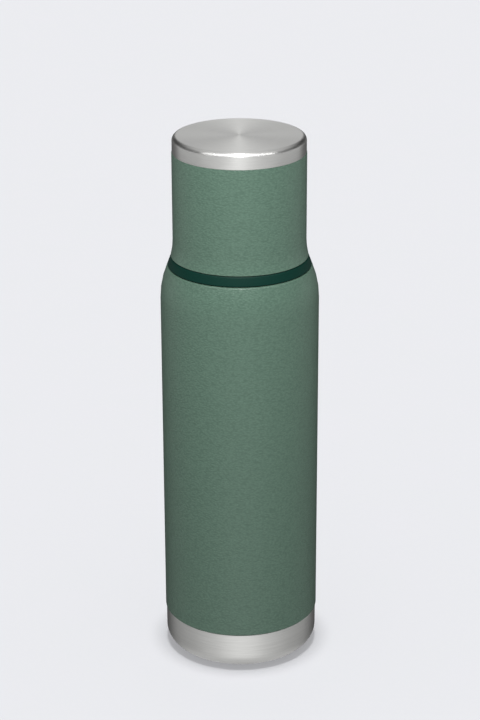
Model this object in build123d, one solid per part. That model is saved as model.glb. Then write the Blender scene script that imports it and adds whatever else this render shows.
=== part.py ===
from build123d import *
import math
import os

# Vacuum flask with a screw stopper, a pouring knob and a screw-on steel cup.
# Millimetres, +Z up, origin at the centre of the foot. Radii are measured from the upright axis.

# ---- driving dimensions ----
HEIGHT = 315.0
BODY_R = 45.5
COAT_LOW_Z = 23.4
LEDGE_Z = 239.0
LEDGE_R = 41.4
FLANGE_TOP_Z = 244.6
CUP_LOW_Z = 245.0
CUP_R = 38.05
CUP_COAT_TOP_Z = 305.4
STEEL = 0.5

# ---- clearances and seams ----
GAP = 0.4
SEAL_GAP = 0.05
RUNNING_GAP = 0.05
COAT_SEAM = 0.2
CUP_SEAM = 0.1
SIDE_GAP = 0.2

# ---- edge roundings, overlap of joined shapes, and how far a cut runs past a wall ----
FINE_EDGE_R = 0.15
SHARP_EDGE_R = 0.2
EDGE_R = 0.3
DULL_EDGE_R = 0.5
SOFT_EDGE_R = 0.8
LAP = 0.5
PAST = 1.0

# ---- screw threads: three starts, right hand, shared by the stopper and the cup ----
STARTS = 3
START_PITCH = 6.0
LEAD = STARTS * START_PITCH
RIDGE_BASE = 2.2
RIDGE_CREST = 1.2
RIDGE_ANGLE = 130.0
RIDGE_SINK = 0.3
MESH_SHIFT = 2.0

# ---- casing ----
SHOULDER_R = 48.7
SHOULDER_SLOPE = math.radians(22.84)
SHOULDER_EDGE_R = 1.0
SHOULDER_Z = LEDGE_Z - (BODY_R - LEDGE_R) / math.tan(SHOULDER_SLOPE)
NECK_R = 33.0
NECK_TOP_Z = 243.6
NECK_ROOT_R = 1.0

# ---- bare steel base ----
BASE_R = 45.0
BASE_WALL = 0.6
HEEL_R = 9.5
BASE_TOP_Z = COAT_LOW_Z - COAT_SEAM
BASE_JOIN_Z = 13.5
SPIGOT_TOP_Z = 31.0
FOOT_INNER_R = 33.0
RECESS_Z = 3.6
RECESS_EDGE_R = 1.2
TIP_HOLE_R = 1.6
TIP_HEAD_R = 3.5
TIP_HEAD_H = 0.9
DISC_R = 31.2
DISC_LOW_Z = 1.8
DISC_EDGE_R = 1.0

# ---- inner bottle ----
LINER_R = 40.9
LINER_SHOULDER_Z = 206.0
LINER_NECK_Z = 214.0
LINER_SHOULDER_ARC = 16.0
LINER_SEAM_Z = 27.0
LINER_BOTTOM_Z = 9.5
LINER_BOTTOM_ARC = 11.0
LINER_NECK_R = NECK_R - STEEL
MOUTH_R = LINER_NECK_R - STEEL
MOUTH_Z = NECK_TOP_Z + STEEL
NECK_RIDGE_R = MOUTH_R - 1.2
FOIL = 0.2
FOIL_LOW_Z = 30.0
FOIL_TOP_Z = 190.0

# ---- getter in the vacuum space ----
GETTER_X = 16.0
GETTER_R = 6.0
GETTER_LOW_Z = 6.2
GETTER_H = 2.2
CLIP_SPAN = 17.0
CLIP_WIDTH = 6.0
CLIP_T = 0.6

# ---- stopper ----
FLANGE_LOW_Z = LEDGE_Z + GAP
FLANGE_LOW_R = 41.3
FLANGE_TOP_R = 39.1
FLANGE_BEVEL_R = 39.6
FLANGE_BEVEL_Z = FLANGE_TOP_Z - 0.5
COLLAR_R = NECK_R + GAP
GASKET_T = 2.1
GASKET_R = COLLAR_R - 0.3
COLLAR_TOP_Z = MOUTH_Z + SEAL_GAP + GASKET_T + SEAL_GAP
PLUG_R = NECK_RIDGE_R - GAP
PLUG_WALL = 2.0
PLUG_LOW_Z = 214.5
PLUG_RIDGE_R = MOUTH_R - GAP
PLUG_RIDGE_Z = 226.0
BOSS_R = 35.2
BOSS_INNER_R = 32.8
BOSS_TOP_Z = 262.0
BOSS_RIDGE_R = 36.3
BOSS_RIDGE_Z = 248.4
DISH_Z = 248.4
DISH_R = 1.5
SEAL_GROOVE_IN = 36.8
SEAL_GROOVE_OUT = 38.8
SEAL_GROOVE_Z = 243.7

# ---- pouring tube, floor and filling of the stopper ----
TUBE_R = 13.0
TUBE_BORE = 11.2
TUBE_TOP_Z = 268.0
TUBE_FLANGE_R = 16.0
TUBE_FLANGE_H = 0.8
SNAP_GROOVE_R = 12.4
SNAP_GROOVE_Z = (251.4, 253.0)
RING_GROOVE_R = 12.0
RING_Z = 257.0
RING_SECTION = 0.7
RING_GROOVE_H = 1.6
WINDOW_W = 12.0
WINDOW_Z = (260.0, 265.5)
WINDOW_EDGE_R = 1.2
TUBE_WINDOW_TURN = -90.0
KNOB_WINDOW_TURN = 180.0
FLOOR_LOW_Z = 212.0
SEAT_HOLE_R = 7.0
SEAT_RING_R = 8.2
SEAT_Z = 215.3
FLOOR_SPIGOT_R = 26.4
FLOOR_SPIGOT_Z = 217.0
FILLING_R = (13.5, 27.9)
FILLING_Z = (217.5, 245.8)
FILLING_EDGE_R = 1.2

# ---- valve ----
STEM_R = 3.0
STEM_TOP_Z = 279.0
WASHER_R = 9.5
WASHER_T = 1.95
WASHER_HOLE_R = 2.0
VALVE_DISC_R = 9.0
VALVE_DISC_T = 1.5
STEM_HEAD_R = 3.4
STEM_HEAD_H = 0.9
PIN_R = 1.2
PIN_HALF = 7.4
PIN_Z = 270.0
VALVE_RISE = 4.0
CAM_LEAD = 4 * VALVE_RISE
SLOT_W = 3.0
GUIDE_HUB_Z = (240.0, 252.0)
GUIDE_SPOKES = 3
GUIDE_SPOKE_W = 1.8
GUIDE_SPOKE_TURN = 30.0
GUIDE_RIM_T = 1.2
GUIDE_RIM_H = 8.0
SLOT_SPARE = 0.6
GUIDE_R = 5.1
GUIDE_BORE = 3.6
GUIDE_TOP_Z = 280.0
SLEEVE_BORE = 5.6
SLEEVE_R = 7.8
SLEEVE_LOW_Z = 262.5
SLEEVE_TOP_Z = 284.0
SLEEVE_DISC_R = 20.0
SLEEVE_DISC_T = 2.0

# ---- knob ----
SKIRT_BORE = TUBE_R + 0.5
SKIRT_R = 15.4
SKIRT_LOW_Z = 249.7
SNAP_RIB_R = 12.8
SNAP_RIB_Z = (251.8, 252.6)
WEB_Z = (267.6, 270.0)
GRIP_R = 26.0
GRIP_WALL = 2.2
GRIP_TOP_Z = 290.0
GRIP_EDGE_R = 1.4
GRIP_RIBS = 24
RIB_R = 1.1
RIB_Z = (269.0, 287.8)
CAP_SEAT_Z = 288.0
CAP_SEAT_R = 21.8
CAP_LEDGE_T = 2.0
CAP_GAP = 0.1
CAP_CROWN = 0.6
POST_R = 3.2
POST_RING_R = 16.4
SCREWS = 3
SCREW_R = 1.2
SCREW_HEAD_R = 2.5
SCREW_HEAD_H = 1.5
SCREW_LOW_Z = 275.0
SCREW_SLOT = (3.6, 0.6, 0.7)

# ---- cup ----
FLARE_R = 39.3
FLARE_ARC = 36.0
FLARE_Z = 249.9
CUP_BASE_R = 37.8
CUP_TOP_EDGE_R = 2.8
CUP_SPIGOT_Z = 297.0
CUP_LINER_R = 36.1
CUP_LINER_TOP_Z = 309.5
CUP_LINER_ARC = 6.0
THREAD_RING_BORE = 36.7
THREAD_RING_TOP_Z = 262.0
CUP_RIDGE_R = BOSS_R + GAP


def turned(*corners):
    """Solid turned about the upright axis; each corner gives radius, height and rounding."""
    points = [corner[:2] for corner in corners]
    rounding = [corner[2] if len(corner) > 2 else 0 for corner in corners]
    outline = FilletPolyline(*points, radius=rounding, close=True)
    return revolve(Plane.XZ * make_face(outline), Axis.Z)


def pressed(wall, *corners):
    """Sheet shell turned about the upright axis, drawn by its outside corners, wall inwards."""
    points = [corner[:2] for corner in corners]
    rounding = [corner[2] if len(corner) > 2 else 0 for corner in corners[1:-1]]
    outside = FilletPolyline(*points, radius=rounding)
    outline = offset(outside, amount=wall, side=Side.LEFT, closed=True)
    return revolve(Plane.XZ * make_face(outline), Axis.Z)


def ring(inner, outer, low, high):
    """Plain upright ring."""
    return turned((inner, low), (outer, low), (outer, high), (inner, high))


def rod(radius, low, high):
    """Plain upright rod on the axis."""
    return Pos(0, 0, low) * Cylinder(radius, high - low, align=(Align.CENTER, Align.CENTER, Align.MIN))


def ridges(root, crest, low_z):
    """Raised thread on a wall of radius root, one ridge for each start, standing to radius crest."""
    sink = RIDGE_SINK if crest < root else -RIDGE_SINK
    half_base = RIDGE_BASE / 2
    half_crest = RIDGE_CREST / 2
    section = Polyline(
        (root + sink, -half_base),
        (root, -half_base),
        (crest, -half_crest),
        (crest, half_crest),
        (root, half_base),
        (root + sink, half_base),
        close=True,
    )
    path = Helix(pitch=LEAD, height=LEAD * RIDGE_ANGLE / 360, radius=root)
    ridge = sweep(Plane.XZ * make_face(section), path=path, is_frenet=True)
    turns = [Rot(0, 0, 360 / STARTS * start) for start in range(STARTS)]
    return [Pos(0, 0, low_z) * turn * ridge for turn in turns]


# ---- flask ----
def outer_shell():
    return pressed(
        STEEL,
        (BODY_R, COAT_LOW_Z),
        (BODY_R, SHOULDER_Z, SHOULDER_R),
        (LEDGE_R, LEDGE_Z, SHOULDER_EDGE_R),
        (NECK_R, LEDGE_Z, NECK_ROOT_R),
        (NECK_R, NECK_TOP_Z),
    )


def base_cup():
    spigot_r = BODY_R - STEEL - SEAL_GAP
    upper = turned(
        (spigot_r - BASE_WALL, BASE_JOIN_Z),
        (BASE_R, BASE_JOIN_Z),
        (BASE_R, BASE_TOP_Z),
        (spigot_r, BASE_TOP_Z),
        (spigot_r, SPIGOT_TOP_Z),
        (spigot_r - BASE_WALL, SPIGOT_TOP_Z),
    )
    lower = pressed(
        BASE_R - spigot_r + BASE_WALL,
        (0, RECESS_Z),
        (FOOT_INNER_R, RECESS_Z, RECESS_EDGE_R),
        (FOOT_INNER_R, 0, RECESS_EDGE_R),
        (BASE_R, 0, HEEL_R),
        (BASE_R, BASE_JOIN_Z),
    )
    return upper + lower - rod(TIP_HOLE_R, 0, HEEL_R)


def base_disc():
    return pressed(
        STEEL,
        (0, DISC_LOW_Z),
        (DISC_R, DISC_LOW_Z, DISC_EDGE_R),
        (DISC_R, RECESS_Z),
    )


def evacuation_plug():
    plate_t = BASE_R - (BODY_R - STEEL - SEAL_GAP) + BASE_WALL
    head = turned(
        (0, RECESS_Z - TIP_HEAD_H),
        (TIP_HEAD_R, RECESS_Z - TIP_HEAD_H, EDGE_R),
        (TIP_HEAD_R, RECESS_Z),
        (0, RECESS_Z),
    )
    return head + rod(TIP_HOLE_R, RECESS_Z - TIP_HEAD_H / 2, RECESS_Z + plate_t)


def inner_liner():
    bottle = pressed(
        STEEL,
        (LINER_R, LINER_SEAM_Z),
        (LINER_R, LINER_SHOULDER_Z, LINER_SHOULDER_ARC),
        (LINER_NECK_R, LINER_NECK_Z, NECK_ROOT_R),
        (LINER_NECK_R, NECK_TOP_Z),
    )
    lip = ring(MOUTH_R, NECK_R, NECK_TOP_Z, MOUTH_Z)
    return bottle + lip + ridges(MOUTH_R, NECK_RIDGE_R, PLUG_RIDGE_Z + MESH_SHIFT)


def liner_bottom():
    return pressed(
        STEEL,
        (0, LINER_BOTTOM_Z),
        (LINER_R, LINER_BOTTOM_Z, LINER_BOTTOM_ARC),
        (LINER_R, LINER_SEAM_Z),
    )


def radiation_foil():
    return ring(LINER_R, LINER_R + FOIL, FOIL_LOW_Z, FOIL_TOP_Z)


def getter():
    pill = turned(
        (0, GETTER_LOW_Z),
        (GETTER_R, GETTER_LOW_Z, DULL_EDGE_R),
        (GETTER_R, GETTER_LOW_Z + GETTER_H, DULL_EDGE_R),
        (0, GETTER_LOW_Z + GETTER_H),
    )
    return Pos(GETTER_X, 0, 0) * pill


def getter_clip():
    strap_low = GETTER_LOW_Z - CLIP_T
    leg_h = LINER_BOTTOM_Z - strap_low
    on_floor = (Align.CENTER, Align.CENTER, Align.MIN)
    clip = Box(CLIP_SPAN, CLIP_WIDTH, CLIP_T, align=on_floor)
    for side in (-1, 1):
        leg = Box(CLIP_T, CLIP_WIDTH, leg_h, align=on_floor)
        clip += Pos(side * (CLIP_SPAN - CLIP_T) / 2, 0, 0) * leg
    return Pos(GETTER_X, 0, strap_low) * clip


# ---- stopper and its gasket ----
def stopper_gasket():
    low = MOUTH_Z + SEAL_GAP
    return turned(
        (PLUG_R + GAP, low, EDGE_R),
        (GASKET_R, low, EDGE_R),
        (GASKET_R, low + GASKET_T, EDGE_R),
        (PLUG_R + GAP, low + GASKET_T, EDGE_R),
    )


def stopper_body():
    body = turned(
        (COLLAR_R, FLANGE_LOW_Z, SHARP_EDGE_R),
        (FLANGE_LOW_R, FLANGE_LOW_Z, EDGE_R),
        (FLANGE_BEVEL_R, FLANGE_BEVEL_Z, SHARP_EDGE_R),
        (FLANGE_TOP_R, FLANGE_TOP_Z, FINE_EDGE_R),
        (SEAL_GROOVE_OUT, FLANGE_TOP_Z),
        (SEAL_GROOVE_OUT, SEAL_GROOVE_Z),
        (SEAL_GROOVE_IN, SEAL_GROOVE_Z),
        (SEAL_GROOVE_IN, FLANGE_TOP_Z, SHARP_EDGE_R),
        (BOSS_R, FLANGE_TOP_Z, DULL_EDGE_R),
        (BOSS_R, BOSS_TOP_Z, SOFT_EDGE_R),
        (BOSS_INNER_R, BOSS_TOP_Z, SOFT_EDGE_R),
        (BOSS_INNER_R, DISH_Z, DISH_R),
        (TUBE_R, DISH_Z),
        (TUBE_R, COLLAR_TOP_Z),
        (PLUG_R - PLUG_WALL, COLLAR_TOP_Z, SOFT_EDGE_R),
        (PLUG_R - PLUG_WALL, PLUG_LOW_Z),
        (PLUG_R, PLUG_LOW_Z, DULL_EDGE_R),
        (PLUG_R, COLLAR_TOP_Z),
        (COLLAR_R, COLLAR_TOP_Z),
    )
    body += ridges(PLUG_R, PLUG_RIDGE_R, PLUG_RIDGE_Z)
    return body + ridges(BOSS_R, BOSS_RIDGE_R, BOSS_RIDGE_Z)


def stopper_floor():
    return turned(
        (SEAT_HOLE_R, FLOOR_LOW_Z, EDGE_R),
        (PLUG_R, FLOOR_LOW_Z, SOFT_EDGE_R),
        (PLUG_R, PLUG_LOW_Z),
        (PLUG_R - PLUG_WALL, PLUG_LOW_Z),
        (PLUG_R - PLUG_WALL, FLOOR_SPIGOT_Z, EDGE_R),
        (FLOOR_SPIGOT_R, FLOOR_SPIGOT_Z, EDGE_R),
        (FLOOR_SPIGOT_R, PLUG_LOW_Z, DULL_EDGE_R),
        (SEAT_RING_R, PLUG_LOW_Z, SHARP_EDGE_R),
        (SEAT_RING_R, SEAT_Z, EDGE_R),
        (SEAT_HOLE_R, SEAT_Z, EDGE_R),
    )


def stopper_insulation():
    return turned(
        (FILLING_R[0], FILLING_Z[0]),
        (FILLING_R[1], FILLING_Z[0]),
        (FILLING_R[1], FILLING_Z[1], FILLING_EDGE_R),
        (FILLING_R[0], FILLING_Z[1]),
    )


def window(inner, outer, turn):
    """Block that cuts one pouring window through a round wall, turned about the axis."""
    depth = outer - inner + 2 * PAST
    low, high = WINDOW_Z
    block = Box(depth, WINDOW_W, high - low)
    block = fillet(block.edges().filter_by(Axis.X), WINDOW_EDGE_R)
    return Rot(0, 0, turn) * Pos((inner + outer) / 2, 0, (low + high) / 2) * block


def pour_tube():
    tube = turned(
        (TUBE_BORE, PLUG_LOW_Z),
        (TUBE_R, PLUG_LOW_Z),
        (TUBE_R, DISH_Z),
        (TUBE_FLANGE_R, DISH_Z),
        (TUBE_FLANGE_R, DISH_Z + TUBE_FLANGE_H, EDGE_R),
        (TUBE_R, DISH_Z + TUBE_FLANGE_H, SHARP_EDGE_R),
        (TUBE_R, TUBE_TOP_Z, DULL_EDGE_R),
        (TUBE_BORE, TUBE_TOP_Z, DULL_EDGE_R),
    )
    tube -= ring(SNAP_GROOVE_R, TUBE_R + PAST, *SNAP_GROOVE_Z)
    half_groove = RING_GROOVE_H / 2
    tube -= ring(RING_GROOVE_R, TUBE_R + PAST, RING_Z - half_groove, RING_Z + half_groove)
    return tube - window(TUBE_BORE, TUBE_R, TUBE_WINDOW_TURN)


def tube_o_ring():
    middle = RING_GROOVE_R + SEAL_GAP + RING_SECTION
    return Pos(0, 0, RING_Z) * Torus(middle, RING_SECTION)


def stem_guide():
    low, high = GUIDE_HUB_Z
    guide = ring(STEM_R + RUNNING_GAP, GUIDE_R, low, high)
    guide += ring(GUIDE_BORE, GUIDE_R, high, GUIDE_TOP_Z)
    guide += ring(TUBE_BORE - GUIDE_RIM_T, TUBE_BORE, low, low + GUIDE_RIM_H)
    spoke_l = TUBE_BORE - GUIDE_R
    for spoke in range(GUIDE_SPOKES):
        bar = Box(spoke_l, GUIDE_SPOKE_W, GUIDE_RIM_H, align=(Align.MIN, Align.CENTER, Align.MIN))
        turn = GUIDE_SPOKE_TURN + 360 / GUIDE_SPOKES * spoke
        guide += Rot(0, 0, turn) * Pos(GUIDE_R - LAP, 0, low) * bar
    slot_h = VALVE_RISE + 2 * (PIN_R + SLOT_SPARE)
    slot = Box(4 * GUIDE_R, SLOT_W, slot_h)
    return guide - Pos(0, 0, PIN_Z + VALVE_RISE / 2) * slot


# ---- valve, which rises inside the pouring tube ----
def valve_stem():
    seat = SEAT_Z + SEAL_GAP
    stem = turned(
        (0, seat - STEM_HEAD_H),
        (STEM_HEAD_R, seat - STEM_HEAD_H, EDGE_R),
        (STEM_HEAD_R, seat),
        (WASHER_HOLE_R, seat),
        (WASHER_HOLE_R, seat + WASHER_T),
        (VALVE_DISC_R, seat + WASHER_T),
        (VALVE_DISC_R, seat + WASHER_T + VALVE_DISC_T, EDGE_R),
        (STEM_R, seat + WASHER_T + VALVE_DISC_T, SOFT_EDGE_R),
        (STEM_R, STEM_TOP_Z, DULL_EDGE_R),
        (0, STEM_TOP_Z),
    )
    return stem - Pos(0, 0, PIN_Z) * Rot(0, 90, 0) * Cylinder(PIN_R, 4 * STEM_R)


def valve_washer():
    seat = SEAT_Z + SEAL_GAP
    return turned(
        (WASHER_HOLE_R, seat),
        (WASHER_R, seat, EDGE_R),
        (WASHER_R, seat + WASHER_T, EDGE_R),
        (WASHER_HOLE_R, seat + WASHER_T),
    )


def stem_pin():
    pin = Cylinder(PIN_R, 2 * PIN_HALF)
    pin = chamfer(pin.edges(), EDGE_R)
    return Pos(0, 0, PIN_Z) * Rot(0, 90, 0) * pin


# ---- knob ----
def cam_sleeve():
    top = SLEEVE_TOP_Z + SLEEVE_DISC_T
    sleeve = turned(
        (SLEEVE_BORE, SLEEVE_LOW_Z, EDGE_R),
        (SLEEVE_R, SLEEVE_LOW_Z, EDGE_R),
        (SLEEVE_R, SLEEVE_TOP_Z, DULL_EDGE_R),
        (SLEEVE_DISC_R, SLEEVE_TOP_Z, EDGE_R),
        (SLEEVE_DISC_R, top, EDGE_R),
        (0, top),
        (0, SLEEVE_TOP_Z),
        (SLEEVE_BORE, SLEEVE_TOP_Z),
    )
    middle = (SLEEVE_BORE + SLEEVE_R) / 2
    reach = SLEEVE_R - SLEEVE_BORE + PAST
    path = Helix(pitch=CAM_LEAD, height=VALVE_RISE, radius=middle, lefthand=True)
    groove = sweep(Plane.XZ * Pos(middle, 0) * Rectangle(reach, SLOT_W), path=path, is_frenet=True)
    end = Pos(middle, 0, 0) * Rot(0, 90, 0) * Cylinder(SLOT_W / 2, reach)
    cutter = [groove, end, Pos(0, 0, VALVE_RISE) * Rot(0, 0, -90) * end]
    for turn in (0, 180):
        for piece in cutter:
            sleeve -= Pos(0, 0, PIN_Z) * Rot(0, 0, turn) * piece
    for place in PolarLocations(POST_RING_R, SCREWS):
        sleeve -= place * rod(SCREW_R, SLEEVE_TOP_Z - PAST, top + PAST)
    return sleeve


def pour_knob():
    inner_r = GRIP_R - GRIP_WALL
    knob = turned(
        (SKIRT_BORE, SKIRT_LOW_Z, EDGE_R),
        (SKIRT_R, SKIRT_LOW_Z, EDGE_R),
        (SKIRT_R, WEB_Z[0], GRIP_EDGE_R),
        (GRIP_R, WEB_Z[0], GRIP_EDGE_R),
        (GRIP_R, GRIP_TOP_Z, GRIP_EDGE_R),
        (inner_r, GRIP_TOP_Z, EDGE_R),
        (inner_r, CAP_SEAT_Z),
        (CAP_SEAT_R, CAP_SEAT_Z),
        (CAP_SEAT_R, CAP_SEAT_Z - CAP_LEDGE_T),
        (inner_r, CAP_SEAT_Z - 2 * CAP_LEDGE_T),
        (inner_r, WEB_Z[1], SOFT_EDGE_R),
        (SKIRT_BORE, WEB_Z[1], DULL_EDGE_R),
    )
    low, high = SNAP_RIB_Z
    knob += turned(
        (SNAP_RIB_R, low, SHARP_EDGE_R),
        (SKIRT_BORE + LAP, low),
        (SKIRT_BORE + LAP, high),
        (SNAP_RIB_R, high, SHARP_EDGE_R),
    )
    for place in PolarLocations(GRIP_R, GRIP_RIBS):
        knob += place * rod(RIB_R, *RIB_Z)
    for place in PolarLocations(POST_RING_R, SCREWS):
        knob += place * rod(POST_R, WEB_Z[1] - LAP, SLEEVE_TOP_Z)
        knob -= place * rod(SCREW_R, SCREW_LOW_Z, SLEEVE_TOP_Z + PAST)
    return knob - window(SKIRT_BORE, SKIRT_R, KNOB_WINDOW_TURN)


def knob_cap():
    edge_r = GRIP_R - GRIP_WALL - CAP_GAP
    return turned(
        (0, CAP_SEAT_Z),
        (edge_r, CAP_SEAT_Z),
        (edge_r, GRIP_TOP_Z, DULL_EDGE_R),
        (0, GRIP_TOP_Z + CAP_CROWN),
    )


def knob_screws():
    head_low = SLEEVE_TOP_Z + SLEEVE_DISC_T
    shank = rod(SCREW_R, SCREW_LOW_Z, head_low + LAP)
    head = turned(
        (0, head_low),
        (SCREW_HEAD_R, head_low),
        (SCREW_HEAD_R, head_low + SCREW_HEAD_H, DULL_EDGE_R),
        (0, head_low + SCREW_HEAD_H),
    )
    length, width, depth = SCREW_SLOT
    screw = shank + head
    for turn in (0, 90):
        cut = Rot(0, 0, turn) * Box(length, width, 2 * depth)
        screw -= Pos(0, 0, head_low + SCREW_HEAD_H) * cut
    return Compound([place * screw for place in PolarLocations(POST_RING_R, SCREWS)])


# ---- cup and its seal ----
def cup_seal():
    low = SEAL_GROOVE_Z + SEAL_GAP
    high = CUP_LOW_Z - SEAL_GAP
    inner = SEAL_GROOVE_IN + SIDE_GAP
    outer = SEAL_GROOVE_OUT - SIDE_GAP
    return turned(
        (inner, low, EDGE_R),
        (outer, low, EDGE_R),
        (outer, high, EDGE_R),
        (inner, high, EDGE_R),
    )


def cup_shell():
    shell = pressed(
        STEEL,
        (FLARE_R, CUP_LOW_Z),
        (CUP_R, FLARE_Z, FLARE_ARC),
        (CUP_R, CUP_COAT_TOP_Z),
    )
    return shell - rod(FLARE_R + PAST, CUP_LOW_Z - PAST, CUP_LOW_Z)


def cup_base():
    inner_r = CUP_R - STEEL - SEAL_GAP
    top = pressed(
        CUP_BASE_R - inner_r + STEEL,
        (CUP_BASE_R, CUP_COAT_TOP_Z + CUP_SEAM),
        (CUP_BASE_R, HEIGHT, CUP_TOP_EDGE_R),
        (0, HEIGHT),
    )
    return top + ring(inner_r - STEEL, inner_r, CUP_SPIGOT_Z, CUP_COAT_TOP_Z + PAST)


def cup_liner():
    rim = ring(CUP_LINER_R - STEEL, CUP_R - STEEL - SEAL_GAP, THREAD_RING_TOP_Z, THREAD_RING_TOP_Z + STEEL)
    wall = pressed(
        STEEL,
        (CUP_LINER_R, THREAD_RING_TOP_Z),
        (CUP_LINER_R, CUP_LINER_TOP_Z, CUP_LINER_ARC),
        (0, CUP_LINER_TOP_Z),
    )
    return rim + wall


def cup_thread_ring():
    clear = STEEL + SEAL_GAP
    body = turned(
        (THREAD_RING_BORE, CUP_LOW_Z, EDGE_R),
        (FLARE_R - clear, CUP_LOW_Z),
        (CUP_R - clear, FLARE_Z, FLARE_ARC),
        (CUP_R - clear, THREAD_RING_TOP_Z),
        (THREAD_RING_BORE, THREAD_RING_TOP_Z, EDGE_R),
    )
    return body + ridges(THREAD_RING_BORE, CUP_RIDGE_R, BOSS_RIDGE_Z - MESH_SHIFT)


SUB_PARTS = [
    outer_shell,
    base_cup,
    base_disc,
    evacuation_plug,
    inner_liner,
    liner_bottom,
    radiation_foil,
    getter,
    getter_clip,
    stopper_gasket,
    stopper_body,
    stopper_floor,
    stopper_insulation,
    pour_tube,
    tube_o_ring,
    stem_guide,
    valve_stem,
    valve_washer,
    stem_pin,
    cam_sleeve,
    pour_knob,
    knob_cap,
    knob_screws,
    cup_seal,
    cup_shell,
    cup_base,
    cup_liner,
    cup_thread_ring,
]

os.makedirs("parts", exist_ok=True)
for make in SUB_PARTS:
    export_step(make(), os.path.join("parts", make.__name__ + ".step"))
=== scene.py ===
"""Looks of a double-walled steel vacuum flask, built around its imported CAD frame.

Each sub-assembly is a class that holds its sizes in millimetres and builds and dresses its own pieces.
Every round piece is turned from an outline of radius and height, as it would be on a lathe.
"""

import logging
import math
from dataclasses import dataclass
from enum import Enum
from typing import Callable, Optional, Union

import bmesh
import bpy
from mathutils import Euler, Matrix, Vector


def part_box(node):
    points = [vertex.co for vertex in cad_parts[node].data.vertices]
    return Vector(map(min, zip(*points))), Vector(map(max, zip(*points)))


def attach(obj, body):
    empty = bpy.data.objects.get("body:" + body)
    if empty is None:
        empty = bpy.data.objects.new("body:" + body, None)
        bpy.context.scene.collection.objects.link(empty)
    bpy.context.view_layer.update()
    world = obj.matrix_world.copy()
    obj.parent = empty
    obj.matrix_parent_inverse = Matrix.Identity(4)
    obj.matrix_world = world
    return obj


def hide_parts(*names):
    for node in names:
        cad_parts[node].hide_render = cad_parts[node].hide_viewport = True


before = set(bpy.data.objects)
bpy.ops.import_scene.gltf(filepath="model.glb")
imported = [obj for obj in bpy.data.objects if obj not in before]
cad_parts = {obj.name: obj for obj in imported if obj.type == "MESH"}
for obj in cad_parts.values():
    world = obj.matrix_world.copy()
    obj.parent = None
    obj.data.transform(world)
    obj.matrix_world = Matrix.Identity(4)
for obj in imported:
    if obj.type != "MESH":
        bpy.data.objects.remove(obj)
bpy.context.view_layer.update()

LOG = logging.getLogger("vacuum_flask")
MM = 0.001

# How finely pieces are turned, rounded and cut.
FLATS = 288
ARC_STEP = math.radians(9.0)
ARC_STEPS_LEAST = 2
ROUNDING_LEAST = 0.05
ON_AXIS = 1e-6
RIDGE_STEPS = 64
RIDGE_SIDES = 4
WINDOW_ARC_STEPS = 5
TRUE_ARC = 0.5
NEARLY_ALONG = 0.99
SMOOTH_ANGLE = math.radians(32.0)

# The sRGB curve.
SRGB_KNEE = 0.04045
SRGB_SLOPE = 12.92
SRGB_OFFSET = 0.055
SRGB_POWER = 2.4

# A quarter turn of the brushing direction, and the range that a roughness stays in.
ACROSS = 0.25
ROUGHNESS_LEAST = 0.02
ROUGHNESS_MOST = 1.0

# The brightness that white stands for on a ramp, and the studio's level and forward directions.
RAMP_WHITE = 2.0
LEVEL = (1.0, 1.0, 0.0)
FORWARD = (0.0, -1.0, 0.0)

Pair = tuple[float, float]
Triple = tuple[float, float, float]
Outline = list[Pair]
Swell = Callable[[float, float, float], float]
Input = Union[float, tuple, bpy.types.NodeSocket]


# ---------------------------------------------------------------- outlines and meshes
@dataclass(frozen=True)
class Corner:
    """One corner of a turned outline, in millimetres."""

    r: float
    z: float
    rounding: float = 0.0


def rounded(corners: list[Corner], closed: bool = True) -> Outline:
    """Turns corners into outline points, with an arc at every corner that has a rounding.

    Args:
        corners: the corners in order.
        closed: whether the last corner joins the first.

    Returns:
        Points of radius and height in millimetres.
    """
    points: Outline = []
    count = len(corners)
    for index, corner in enumerate(corners):
        at_end = not closed and index in (0, count - 1)
        if corner.rounding <= 0 or at_end:
            points.append((corner.r, corner.z))
            continue
        here = Vector((corner.r, corner.z))
        before = corners[index - 1]
        after = corners[(index + 1) % count]
        back = (Vector((before.r, before.z)) - here).normalized()
        ahead = (Vector((after.r, after.z)) - here).normalized()
        half = back.angle(ahead) / 2
        reach = corner.rounding / math.tan(half)
        centre = here + (back + ahead).normalized() * corner.rounding / math.sin(half)
        start = here + back * reach - centre
        turn = math.pi - 2 * half
        chord = ahead - back
        side = 1 if start.x * chord.y - start.y * chord.x > 0 else -1
        steps = max(ARC_STEPS_LEAST, math.ceil(turn / ARC_STEP))
        for step in range(steps + 1):
            angle = side * turn * step / steps
            x = start.x * math.cos(angle) - start.y * math.sin(angle)
            y = start.x * math.sin(angle) + start.y * math.cos(angle)
            points.append((centre.x + x, centre.y + y))
    return points


def sheet(corners: list[Corner], wall: float) -> Outline:
    """Draws the closed outline of a pressed sheet from its outside corners.

    Args:
        corners: the outside corners, with the wall to the left of the path.
        wall: the sheet's thickness in millimetres.

    Returns:
        The outside outline, then the inside one backwards.
    """
    places = [Vector((corner.r, corner.z)) for corner in corners]
    lefts = []
    for start, end in zip(places, places[1:]):
        along = (end - start).normalized()
        lefts.append(Vector((-along.y, along.x)))
    inside = []
    for index, corner in enumerate(corners):
        first = lefts[max(index - 1, 0)]
        second = lefts[min(index, len(lefts) - 1)]
        shift = (first + second) * wall / (1 + first.dot(second))
        turns_left = first.x * second.y - first.y * second.x > 0
        rounding = corner.rounding - wall if turns_left else corner.rounding + wall
        rounding = max(rounding, ROUNDING_LEAST) if corner.rounding > 0 else 0.0
        inside.append(Corner(corner.r + shift.x, corner.z + shift.y, rounding))
    return rounded(corners, closed=False) + rounded(inside, closed=False)[::-1]


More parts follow.
